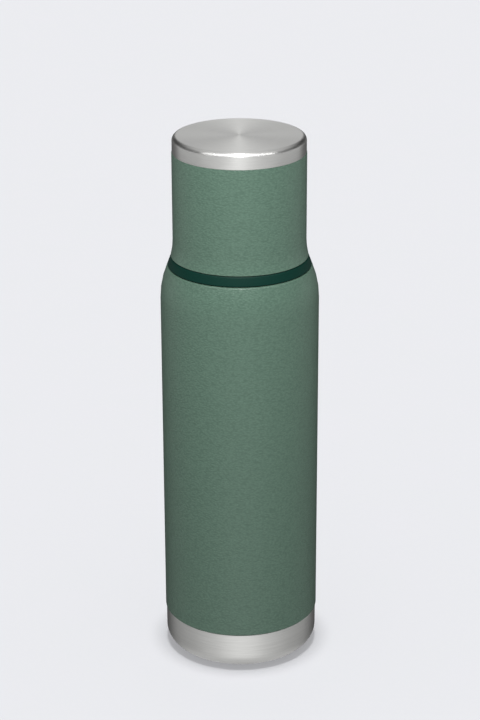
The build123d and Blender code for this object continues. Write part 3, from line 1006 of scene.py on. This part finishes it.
@dataclass
class Stopper:
    """The threaded stopper: flange, boss, plug, floor, filling, tube and seals."""

    flange_inner: float = 33.4
    flange_low_r: float = 41.3
    flange_top_r: float = 39.1
    bevel_r: float = 39.55
    flange_h: float = 5.2
    flange_inner_round: float = 0.2
    flange_low_round: float = 0.35
    flange_top_round: float = 0.12
    bevel_h: float = 0.6
    bevel_round: float = 0.25
    groove: Triple = (36.8, 38.8, 0.9)
    groove_outer_round: float = 0.08
    groove_inner_round: float = 0.2
    boss_r: float = 35.2
    boss_wall: float = 2.4
    boss_h: float = 22.6
    boss_foot_round: float = 0.5
    boss_round: float = 0.8
    boss_ridge: float = 1.1
    boss_ridge_h: float = 9.0
    dish_h: float = 9.0
    dish_round: float = 1.5
    web: float = 2.1
    tube_r: float = 13.0
    plug_r: float = 30.4
    plug_wall: float = 2.0
    plug_inside_round: float = 1.0
    plug_round: float = 0.5
    plug_ridge: float = 1.2
    plug_ridge_h: float = 11.5
    seat_hole: float = 7.0
    seat_r: float = 8.2
    seat_h: float = 0.8
    seat_foot_round: float = 0.2
    seat_round: float = 0.3
    spigot: Pair = (26.4, 2.5)
    spigot_round: float = 0.3
    spigot_foot_round: float = 0.5
    floor_round: float = 0.4
    floor_edge_round: float = 1.0
    floor_ring: tuple[float, ...] = (18.0, 18.4, 20.6, 21.0)
    floor_ring_h: float = 0.4
    floor_ring_round: float = 0.3
    gasket_gap: float = 0.4
    gasket_low_round: float = 0.25
    gasket_top_round: float = 0.3
    bead_h: float = 0.15
    bead_foot: float = 0.7
    bead_foot_round: float = 0.1
    bead_top: float = 0.4
    bead_top_round: float = 0.12

    def build(self, shop: Workshop, thread: Thread) -> None:
        """Turns the stopper's own pieces and dresses those kept from CAD.

        Args:
            shop: the workshop that dresses them.
            thread: the thread on plug and boss.
        """
        _, low, high = reach("stopper_body")
        flange = high - self.boss_h
        flange_top = flange + self.flange_h
        web_low = flange + self.dish_h - self.web
        inner = self.plug_r - self.plug_wall
        boss_inner = self.boss_r - self.boss_wall
        groove_in, groove_out, groove_h = self.groove
        outline = rounded([
            Corner(self.flange_inner, flange, self.flange_inner_round),
            Corner(self.flange_low_r, flange, self.flange_low_round),
            Corner(self.bevel_r, flange_top - self.bevel_h, self.bevel_round),
            Corner(self.flange_top_r, flange_top, self.flange_top_round),
            Corner(groove_out, flange_top, self.groove_outer_round),
            Corner(groove_out, flange_top - groove_h),
            Corner(groove_in, flange_top - groove_h),
            Corner(groove_in, flange_top, self.groove_inner_round),
            Corner(self.boss_r, flange_top, self.boss_foot_round),
            Corner(self.boss_r, high, self.boss_round),
            Corner(boss_inner, high, self.boss_round),
            Corner(boss_inner, flange + self.dish_h, self.dish_round),
            Corner(self.tube_r, flange + self.dish_h),
            Corner(self.tube_r, web_low),
            Corner(inner, web_low, self.plug_inside_round),
            Corner(inner, low),
            Corner(self.plug_r, low, self.plug_round),
            Corner(self.plug_r, web_low),
            Corner(self.flange_inner, web_low),
        ])
        body = MeshMaker().turn(outline)
        body.threads(thread, self.plug_r, self.plug_r + self.plug_ridge, low + self.plug_ridge_h)
        body.threads(thread, self.boss_r, self.boss_r + self.boss_ridge, flange + self.boss_ridge_h)
        shop.place(body.piece("stopper_moulded"), "stopper", RING_PLASTIC, Slot.RING, "stopper_body")
        self.floor(shop)
        self.gasket(shop)
        shop.keep("stopper_insulation", FOAM)
        shop.keep("pour_tube", INNER_PLASTIC)
        shop.keep("tube_o_ring", SILICONE)
        shop.keep("stem_guide", INNER_PLASTIC)

    def floor(self, shop: Workshop) -> None:
        """Turns the floor with the valve seat and a shallow moulded ring.

        Args:
            shop: the workshop that dresses it.
        """
        radius, low, high = reach("stopper_floor")
        spigot_r, spigot_h = self.spigot
        plate = high - spigot_h
        inner = self.plug_r - self.plug_wall
        foot_in, top_in, top_out, foot_out = self.floor_ring
        ring_top = low + self.floor_ring_h
        seat_top = plate + self.seat_h
        outline = rounded([
            Corner(self.seat_hole, low, self.floor_round),
            Corner(foot_in, low, self.floor_round),
            Corner(top_in, ring_top, self.floor_ring_round),
            Corner(top_out, ring_top, self.floor_ring_round),
            Corner(foot_out, low, self.floor_round),
            Corner(radius, low, self.floor_edge_round),
            Corner(radius, plate),
            Corner(inner, plate),
            Corner(inner, high, self.spigot_round),
            Corner(spigot_r, high, self.spigot_round),
            Corner(spigot_r, plate, self.spigot_foot_round),
            Corner(self.seat_r, plate, self.seat_foot_round),
            Corner(self.seat_r, seat_top, self.seat_round),
            Corner(self.seat_hole, seat_top, self.seat_round),
        ])
        shop.turned("stopper_floor_moulded", outline, "stopper", INNER_PLASTIC, Slot.INNER, "stopper_floor")

    def gasket(self, shop: Workshop) -> None:
        """Turns the mouth gasket with a fine sealing bead on its underside.

        Args:
            shop: the workshop that dresses it.
        """
        outer, low, high = reach("stopper_gasket")
        inner = self.plug_r + self.gasket_gap
        middle = (inner + outer) / 2
        face = low + self.bead_h
        outline = rounded([
            Corner(inner, face, self.gasket_low_round),
            Corner(middle - self.bead_foot, face, self.bead_foot_round),
            Corner(middle - self.bead_top, low, self.bead_top_round),
            Corner(middle + self.bead_top, low, self.bead_top_round),
            Corner(middle + self.bead_foot, face, self.bead_foot_round),
            Corner(outer, face, self.gasket_low_round),
            Corner(outer, high, self.gasket_top_round),
            Corner(inner, high, self.gasket_top_round),
        ])
        shop.turned("mouth_gasket", outline, "stopper_gasket", SILICONE, Slot.SILICONE, "stopper_gasket")


@dataclass
class Valve:
    """The valve stem with its washer and cross pin."""

    hole: float = 2.0
    hole_round: float = 0.2
    edge_round: float = 0.3
    groove: tuple[float, ...] = (1.8, 1.6, 1.2, 1.0)
    groove_h: float = 0.25
    groove_round: float = 0.1

    def build(self, shop: Workshop) -> None:
        """Turns the washer and dresses the stem and pin.

        Args:
            shop: the workshop that dresses them.
        """
        outer, low, high = reach("valve_washer")
        foot_in, top_in, top_out, foot_out = (outer - inset for inset in self.groove)
        outline = rounded([
            Corner(self.hole, low, self.hole_round),
            Corner(foot_in, low, self.groove_round),
            Corner(top_in, low + self.groove_h, self.groove_round),
            Corner(top_out, low + self.groove_h, self.groove_round),
            Corner(foot_out, low, self.groove_round),
            Corner(outer, low, self.edge_round),
            Corner(outer, high, self.edge_round),
            Corner(self.hole, high, self.hole_round),
        ])
        shop.turned("valve_washer_moulded", outline, "valve", SILICONE, Slot.SILICONE, "valve_washer")
        shop.keep("valve_stem", INNER_PLASTIC)
        shop.keep("stem_pin", PLAIN_STEEL)


@dataclass
class Knob:
    """The quarter-turn pouring knob with its cap, screws and cam sleeve."""

    grip_r: float = 26.0
    grip_wall: float = 2.2
    grip_flats: int = 2 * FLATS
    grip_levels: int = 10
    grip_low_round: float = 1.2
    grip_round: float = 1.6
    grip_inside_round: float = 0.4
    rib: float = 1.0
    ribs: int = 24
    rib_margin: float = 3.0
    rib_reach: float = 0.05
    rib_sharpness: float = 1.6
    skirt_bore: float = 13.5
    skirt_bore_round: float = 0.3
    skirt_r: float = 15.4
    skirt_round: float = 0.4
    skirt_top_round: float = 1.5
    web_low: float = 17.9
    web: float = 2.4
    web_outer_round: float = 0.8
    web_inner_round: float = 0.5
    cap_seat: float = 2.0
    cap_lip: float = 2.0
    cap_round: float = 0.5
    cap_dish: tuple[Pair, ...] = ((3.0, 2.0), (4.0, 1.5), (6.0, 3.0))
    cap_dish_h: float = 0.5
    cap_middle: float = 0.1
    window_w: float = 12.0
    window: Pair = (10.3, 15.8)
    window_round: float = 1.2
    window_past: float = 2.0
    snap_rib_r: float = 12.8
    snap_rib: Pair = (2.1, 2.9)
    snap_rib_round: float = 0.2
    posts: int = 3
    post_r: float = 3.2
    post_round: float = 0.3
    post_ring_r: float = 16.4
    post_sink: float = 0.5
    post_flats: int = 48
    sleeve_disc: float = 2.0

    def build(self, shop: Workshop) -> None:
        """Turns the ribbed knob, cuts its window and adds the cap.

        Args:
            shop: the workshop that dresses them.
        """
        _, low, high = reach("pour_knob")
        inner = self.grip_r - self.grip_wall
        web = low + self.web_low
        web_top = web + self.web
        seat = high - self.cap_seat
        wall = [
            Corner(self.grip_r, web + (high - web) * step / self.grip_levels)
            for step in range(1, self.grip_levels)
        ]
        outline = rounded([
            Corner(self.skirt_bore, low, self.skirt_bore_round),
            Corner(self.skirt_r, low, self.skirt_round),
            Corner(self.skirt_r, web, self.skirt_top_round),
            Corner(self.grip_r, web, self.grip_low_round),
            *wall,
            Corner(self.grip_r, high, self.grip_round),
            Corner(inner, high, self.grip_inside_round),
            Corner(inner, seat),
            Corner(inner - self.cap_lip, seat),
            Corner(inner - self.cap_lip, seat - self.cap_lip),
            Corner(inner, seat - 2 * self.cap_lip),
            Corner(inner, web_top, self.web_outer_round),
            Corner(self.skirt_bore, web_top, self.web_inner_round),
        ])

        def ribbed(angle: float, r: float, z: float) -> float:
            """Swells the grip into round ribs that fade out towards both ends.

            Args:
                angle: the way round, in radians.
                r: the outline's radius in millimetres.
                z: the height in millimetres.

            Returns:
                The extra radius in millimetres.
            """
            if r < self.grip_r - self.rib_reach:
                return 0.0
            depth = min(z - web, high - z) / self.rib_margin
            fade = math.sin(min(max(depth, 0.0), 1.0) * math.pi / 2)
            wave = (1 + math.cos(self.ribs * angle)) / 2
            return self.rib * fade * wave ** self.rib_sharpness

        maker = MeshMaker().turn(outline, swell=ribbed, flats=self.grip_flats)
        self.posts_and_rib(maker, low, web_top)
        knob = maker.piece("knob_moulded")
        window_low, window_high = self.window
        size = (self.skirt_r - self.skirt_bore + self.window_past, self.window_w, window_high - window_low)
        centre = (-(self.skirt_r + self.skirt_bore) / 2, 0.0, low + (window_low + window_high) / 2)
        cut_window(knob, size, centre, self.window_round)
        shop.place(knob, "knob", RING_PLASTIC, Slot.KNOB, "pour_knob")
        self.cap(shop, high)
        shop.keep("cam_sleeve", INNER_PLASTIC)
        shop.keep("knob_screws", PLAIN_STEEL)

    def cap(self, shop: Workshop, top: float) -> None:
        """Turns the cap over the screws, with a shallow dish in its top.

        Args:
            shop: the workshop that dresses it.
            top: the knob's upper edge in millimetres.
        """
        radius, low, high = reach("knob_cap")
        dish = top - self.cap_dish_h
        corners = [
            Corner(radius - inset, level, rounding)
            for (inset, rounding), level in zip(self.cap_dish, (top, dish, dish))
        ]
        outline = rounded([
            Corner(0, low),
            Corner(radius, low),
            Corner(radius, top, self.cap_round),
            *corners,
            Corner(0, high - self.cap_middle),
        ])
        shop.turned("knob_cap_moulded", outline, "knob", RING_PLASTIC, Slot.KNOB, "knob_cap")

    def posts_and_rib(self, maker: MeshMaker, low: float, web_top: float) -> None:
        """Adds the posts that the screws go into, and the rib that snaps under the tube's bead.

        Args:
            maker: the knob's mesh so far.
            low: the skirt's lower edge in millimetres.
            web_top: the web's upper face in millimetres.
        """
        rib_low, rib_high = (low + height for height in self.snap_rib)
        rib_back = self.skirt_bore + self.post_sink
        maker.turn(rounded([
            Corner(self.snap_rib_r, rib_low, self.snap_rib_round),
            Corner(rib_back, rib_low),
            Corner(rib_back, rib_high),
            Corner(self.snap_rib_r, rib_high, self.snap_rib_round),
        ]))
        post_low = web_top - self.post_sink
        post_top = reach("cam_sleeve")[2] - self.sleeve_disc
        for post in range(self.posts):
            angle = 2 * math.pi * post / self.posts
            centre = (self.post_ring_r * math.cos(angle), self.post_ring_r * math.sin(angle))
            maker.turn(rounded([
                Corner(0, post_low),
                Corner(self.post_r, post_low),
                Corner(self.post_r, post_top, self.post_round),
                Corner(0, post_top),
            ]), flats=self.post_flats, centre=centre)


@dataclass
class Cup:
    """The screw-on drinking cup and the seal it turns on."""

    wall: float = 0.5
    gap: float = 0.05
    shell_r: float = 38.05
    flare_h: float = 4.9
    flare_round: float = 36.0
    mouth_round: float = 0.15
    coat_lip: float = 0.16
    coat_lip_inside: float = 0.1
    base_r: float = 37.8
    base_drop: float = 9.5
    base_edge_round: float = 0.12
    top_round: float = 2.8
    liner_r: float = 36.1
    liner_round: float = 6.0
    liner_rim_round: float = 0.3
    liner_mouth_round: float = 0.2
    ring_bore: float = 36.7
    ring_low_round: float = 0.5
    ring_top_round: float = 0.3
    ring_crest: float = 35.6
    ridge_h: float = 1.4
    seal_w: float = 1.6
    seal_low_round: float = 0.2
    seal_top_round: float = 0.55

    def build(self, shop: Workshop, thread: Thread) -> None:
        """Turns every piece of the cup.

        Args:
            shop: the workshop that dresses them.
            thread: the thread inside the rim.
        """
        flare_r, low, coat_top = reach("cup_shell")
        inner = self.shell_r - self.wall
        flare = low + self.flare_h
        outline = rounded([
            Corner(flare_r - self.wall, low),
            Corner(flare_r, low, self.mouth_round),
            Corner(self.shell_r, flare, self.flare_round),
            Corner(self.shell_r, coat_top, self.coat_lip),
            Corner(inner, coat_top, self.coat_lip_inside),
            Corner(inner, flare, self.flare_round + self.wall),
        ])
        shop.turned("cup_coated", outline, "cup", COAT, Slot.COAT, "cup_shell")
        self.end(shop)
        self.lining(shop)
        self.thread_ring(shop, thread)
        self.seal(shop)

    def end(self, shop: Workshop) -> None:
        """Turns the bare brushed end with its spigot.

        Args:
            shop: the workshop that dresses it.
        """
        _, spigot_low, top = reach("cup_base")
        edge = top - self.base_drop
        spigot_r = self.shell_r - self.wall - self.gap
        thick = self.base_r - spigot_r + self.wall
        outline = rounded([
            Corner(spigot_r - self.wall, spigot_low),
            Corner(spigot_r, spigot_low),
            Corner(spigot_r, edge),
            Corner(self.base_r, edge, self.base_edge_round),
            Corner(self.base_r, top, self.top_round),
            Corner(0, top),
            Corner(0, top - thick),
            Corner(self.base_r - thick, top - thick, self.top_round - thick),
        ])
        shop.turned("cup_end_brushed", outline, "cup", BARE_STEEL, Slot.BRUSHED, "cup_base")

    def lining(self, shop: Workshop) -> None:
        """Turns the cup's inner wall with its outward rim.

        Args:
            shop: the workshop that dresses it.
        """
        rim_r, low, top = reach("cup_liner")
        inner = self.liner_r - self.wall
        outline = rounded([
            Corner(inner, low, self.liner_mouth_round),
            Corner(rim_r, low),
            Corner(rim_r, low + self.wall),
            Corner(self.liner_r, low + self.wall, self.liner_rim_round),
            Corner(self.liner_r, top, self.liner_round),
            Corner(0, top),
            Corner(0, top - self.wall),
            Corner(inner, top - self.wall, self.liner_round - self.wall),
        ])
        shop.turned("cup_lining_drawn", outline, "cup", DRAWN_STEEL, Slot.LINER, "cup_liner")

    def thread_ring(self, shop: Workshop, thread: Thread) -> None:
        """Turns the plastic ring inside the rim and adds its thread.

        Args:
            shop: the workshop that dresses it.
            thread: the thread's sizes.
        """
        mouth_r, low, top = reach("cup_thread_ring")
        outer = self.shell_r - self.wall - self.gap
        outline = rounded([
            Corner(self.ring_bore, low, self.ring_low_round),
            Corner(mouth_r, low),
            Corner(outer, low + self.flare_h, self.flare_round),
            Corner(outer, top),
            Corner(self.ring_bore, top, self.ring_top_round),
        ])
        ring = MeshMaker().turn(outline)
        ring.threads(thread, self.ring_bore, self.ring_crest, low + self.ridge_h)
        shop.place(ring.piece("cup_ring_moulded"), "cup", INNER_PLASTIC, Slot.INNER, "cup_thread_ring")

    def seal(self, shop: Workshop) -> None:
        """Turns the flat seal under the rim, with a domed top.

        Args:
            shop: the workshop that dresses it.
        """
        outer, low, high = reach("cup_seal")
        inner = outer - self.seal_w
        outline = rounded([
            Corner(inner, low, self.seal_low_round),
            Corner(outer, low, self.seal_low_round),
            Corner(outer, high, self.seal_top_round),
            Corner(inner, high, self.seal_top_round),
        ])
        shop.turned("cup_seal_moulded", outline, "cup_seal", SILICONE, Slot.SILICONE, "cup_seal")


# ---------------------------------------------------------------- studio
@dataclass
class Studio:
    """Floor, light and camera. Places and sizes are in metres, the lens in millimetres, angles in radians.

    horizon and walls are pairs of place and brightness, and the place runs from behind (0) to in front (1).
    Each band is where one brightness fades into another, as a coordinate of the unit direction looked in.
    """

    camera_back: float = 1.1257
    camera_up: float = 0.6264
    pitch: float = 0.3776
    roll: float = -0.0037
    lens: float = 104.18
    floor_size: float = 400.0
    floor_cells: int = 8
    aim: Triple = (0.0, 0.0, 0.17)
    box_place: Triple = (0.0, -0.38, 0.72)
    key_size: Pair = (0.08, 0.16)
    key_power: float = 2.7
    bank_size: Pair = (1.6, 0.2)
    bank_power: float = 4.3
    wash_place: Triple = (0.0, 0.0, 1.0)
    wash_power: float = 5.0
    wash_angle: float = math.radians(6.0)
    fill_power: float = 3.45
    horizon: tuple[Pair, ...] = (
        (0.0, 0.15), (0.15, 0.3), (0.25, 0.95), (0.44, 1.05),
        (0.62, 1.08), (0.75, 1.05), (0.9, 0.92), (1.0, 0.76))
    walls: tuple[Pair, ...] = (
        (0.0, 0.03), (0.067, 0.06), (0.2, 0.12), (0.28, 0.24),
        (0.62, 0.4), (0.75, 0.6), (0.9, 0.92), (1.0, 1.55))
    below: float = 0.76
    strip: float = 0.86
    strip_spill: float = 0.04
    front_sky: float = 0.5
    side_sky: float = 0.1
    overhead: float = 0.75
    horizon_band: Pair = (-0.45, -0.1)
    below_band: Pair = (-0.45, -0.85)
    sky_band: Pair = (-0.05, 0.2)
    front_band: Pair = (-0.3, 0.5)
    side_band: Pair = (0.3, 0.8)
    strip_band: Pair = (0.03, 0.3)
    overhead_band: Pair = (0.4, 0.8)

    def build(self) -> None:
        """Sets up the floor, the surround light, the soft boxes, the floor's own light and the camera."""
        bpy.context.scene.view_settings.view_transform = "Standard"
        self.floor()
        self.surround()
        self.soft_box("key", self.key_size, self.key_power)
        self.soft_box("bank", self.bank_size, self.bank_power)
        self.wash("floor_wash", self.wash_power, shadow=True)
        self.wash("floor_fill", self.fill_power, shadow=False)
        self.camera()

    def floor(self) -> None:
        """Lays a wide grey board, which the flask doesn't mirror and takes no bounced light from."""
        shape = bmesh.new()
        cells = self.floor_cells
        bmesh.ops.create_grid(shape, x_segments=cells, y_segments=cells, size=self.floor_size / 2)
        mesh = bpy.data.meshes.new("studio_floor")
        shape.to_mesh(mesh)
        shape.free()
        floor = bpy.data.objects.new("studio_floor", mesh)
        bpy.context.scene.collection.objects.link(floor)
        mesh.materials.append(FLOOR_BOARD.material())
        floor.visible_glossy = False
        floor.visible_diffuse = False

    def surround(self) -> None:
        """Lights the scene from all round.

        From below upwards come the ground, the walls, the horizon and the sky. The sky has a narrow bright
        strip behind, a soft glow in front, and a bright patch overhead.
        """
        world = bpy.data.worlds.new("studio_surround")
        world.use_nodes = True
        bpy.context.scene.world = world
        tree = world.node_tree
        tree.nodes.clear()
        direction = add_node(tree, "ShaderNodeTexCoord").outputs["Generated"]
        parts = add_node(tree, "ShaderNodeSeparateXYZ", {0: direction})
        level = add_node(tree, "ShaderNodeVectorMath", {0: direction, 1: LEVEL}, operation="MULTIPLY")
        level = add_node(tree, "ShaderNodeVectorMath", {0: level.outputs[0]}, operation="NORMALIZE")
        ahead = add_node(tree, "ShaderNodeVectorMath", {
            0: level.outputs[0],
            1: FORWARD,
        }, operation="DOT_PRODUCT")
        share = add_node(tree, "ShaderNodeMapRange", {
            "Value": ahead.outputs["Value"],
            "From Min": -1.0,
        }).outputs[0]
        height = parts.outputs["Z"]
        aside = add_node(tree, "ShaderNodeMath", {0: parts.outputs["X"]}, operation="ABSOLUTE").outputs[0]
        walls = self.profile(tree, share, self.walls)
        horizon = self.profile(tree, share, self.horizon)
        low = self.blend(tree, height, self.below_band, walls, self.below)
        round_about = self.blend(tree, height, self.horizon_band, low, horizon)
        strip = self.blend(tree, aside, self.strip_band, self.strip, self.strip_spill)
        front = self.blend(tree, aside, self.side_band, self.front_sky, self.side_sky)
        sky = self.blend(tree, parts.outputs["Y"], self.front_band, front, strip)
        sky = self.blend(tree, height, self.overhead_band, sky, self.overhead)
        total = self.blend(tree, height, self.sky_band, round_about, sky)
        glow = add_node(tree, "ShaderNodeBackground", {"Color": linear("#ffffff"), "Strength": total})
        add_node(tree, "ShaderNodeOutputWorld", {"Surface": glow.outputs[0]})

    def profile(
        self, tree: bpy.types.NodeTree, share: Input, stops: tuple[Pair, ...],
    ) -> bpy.types.NodeSocket:
        """Reads a brightness off a list of stops.

        Args:
            tree: the node tree.
            share: the place along the stops, 0 to 1.
            stops: pairs of place and brightness.

        Returns:
            The brightness there.
        """
        node = add_node(tree, "ShaderNodeValToRGB", {"Fac": share})
        elements = node.color_ramp.elements
        ready = len(elements)
        for index, (spot, glow) in enumerate(stops):
            element = elements[index] if index < ready else elements.new(spot)
            element.position = spot
            level = glow / RAMP_WHITE
            element.color = (level, level, level, 1.0)
        return add_node(tree, "ShaderNodeMath", {
            0: node.outputs["Color"],
            1: RAMP_WHITE,
        }, operation="MULTIPLY").outputs[0]

    def blend(
        self, tree: bpy.types.NodeTree, value: Input, band: Pair, first: Input, second: Input,
    ) -> bpy.types.NodeSocket:
        """Fades from one brightness to another while a value crosses a band.

        Args:
            tree: the node tree.
            value: the value that crosses the band.
            band: where the fade begins and ends.
            first: the brightness before the band.
            second: the brightness after it.

        Returns:
            The blended brightness.
        """
        fade = add_node(tree, "ShaderNodeMapRange", {
            "Value": value,
            "From Min": band[0],
            "From Max": band[1],
        }, interpolation_type="SMOOTHSTEP")
        return add_node(tree, "ShaderNodeMix", {
            "Factor": fade.outputs[0],
            "A": first,
            "B": second,
        }, data_type="FLOAT").outputs["Result"]

    def soft_box(self, name: str, size: Pair, power: float) -> None:
        """Hangs one soft box in front of the flask and above it. It doesn't light the floor.

        Args:
            name: the light's name.
            size: its width and depth in metres.
            power: its power in watts.
        """
        data = bpy.data.lights.new(name, "AREA")
        data.shape = "RECTANGLE"
        data.size, data.size_y = size
        data.energy = power
        light = bpy.data.objects.new(name, data)
        light.location = self.box_place
        aim = Vector(self.aim) - light.location
        light.rotation_euler = aim.to_track_quat("-Z", "Y").to_euler()
        bpy.context.scene.collection.objects.link(light)
        self.link_to_floor(light, "EXCLUDE")

    def wash(self, name: str, power: float, shadow: bool) -> None:
        """Lights the floor alone, from straight above.

        Args:
            name: the light's name.
            power: its strength.
            shadow: whether the flask shades it.
        """
        data = bpy.data.lights.new(name, "SUN")
        data.energy = power
        data.angle = self.wash_angle
        data.use_shadow = shadow
        light = bpy.data.objects.new(name, data)
        light.location = self.wash_place
        bpy.context.scene.collection.objects.link(light)
        self.link_to_floor(light, "INCLUDE")

    def link_to_floor(self, light: bpy.types.Object, state: str) -> None:
        """Makes a light leave the floor out, or reach nothing else.

        Args:
            light: the light.
            state: EXCLUDE or INCLUDE.
        """
        group = bpy.data.collections.new(f"{light.name}_floor")
        group.objects.link(bpy.data.objects["studio_floor"])
        light.light_linking.receiver_collection = group
        group.collection_objects[0].light_linking.link_state = state

    def camera(self) -> None:
        """Places the camera in front and above, a little rolled."""
        data = bpy.data.cameras.new("camera")
        data.lens = self.lens
        camera = bpy.data.objects.new("camera", data)
        tilt = Euler((math.pi / 2 - self.pitch, 0.0, 0.0)).to_matrix()
        camera.rotation_euler = (tilt @ Euler((0.0, 0.0, self.roll)).to_matrix()).to_euler()
        camera.location = (0.0, -self.camera_back, self.camera_up)
        bpy.context.scene.collection.objects.link(camera)
        bpy.context.scene.camera = camera


def main() -> None:
    """Builds every sub-assembly in order, then the studio."""
    logging.basicConfig(level=logging.INFO, format="%(name)s: %(message)s")
    shop = Workshop()
    thread = Thread()
    Casing().build(shop)
    Base().build(shop)
    InnerBottle().build(shop, thread)
    Stopper().build(shop, thread)
    Valve().build(shop)
    Knob().build(shop)
    Cup().build(shop, thread)
    Studio().build()


if __name__ == "__main__":
    main()
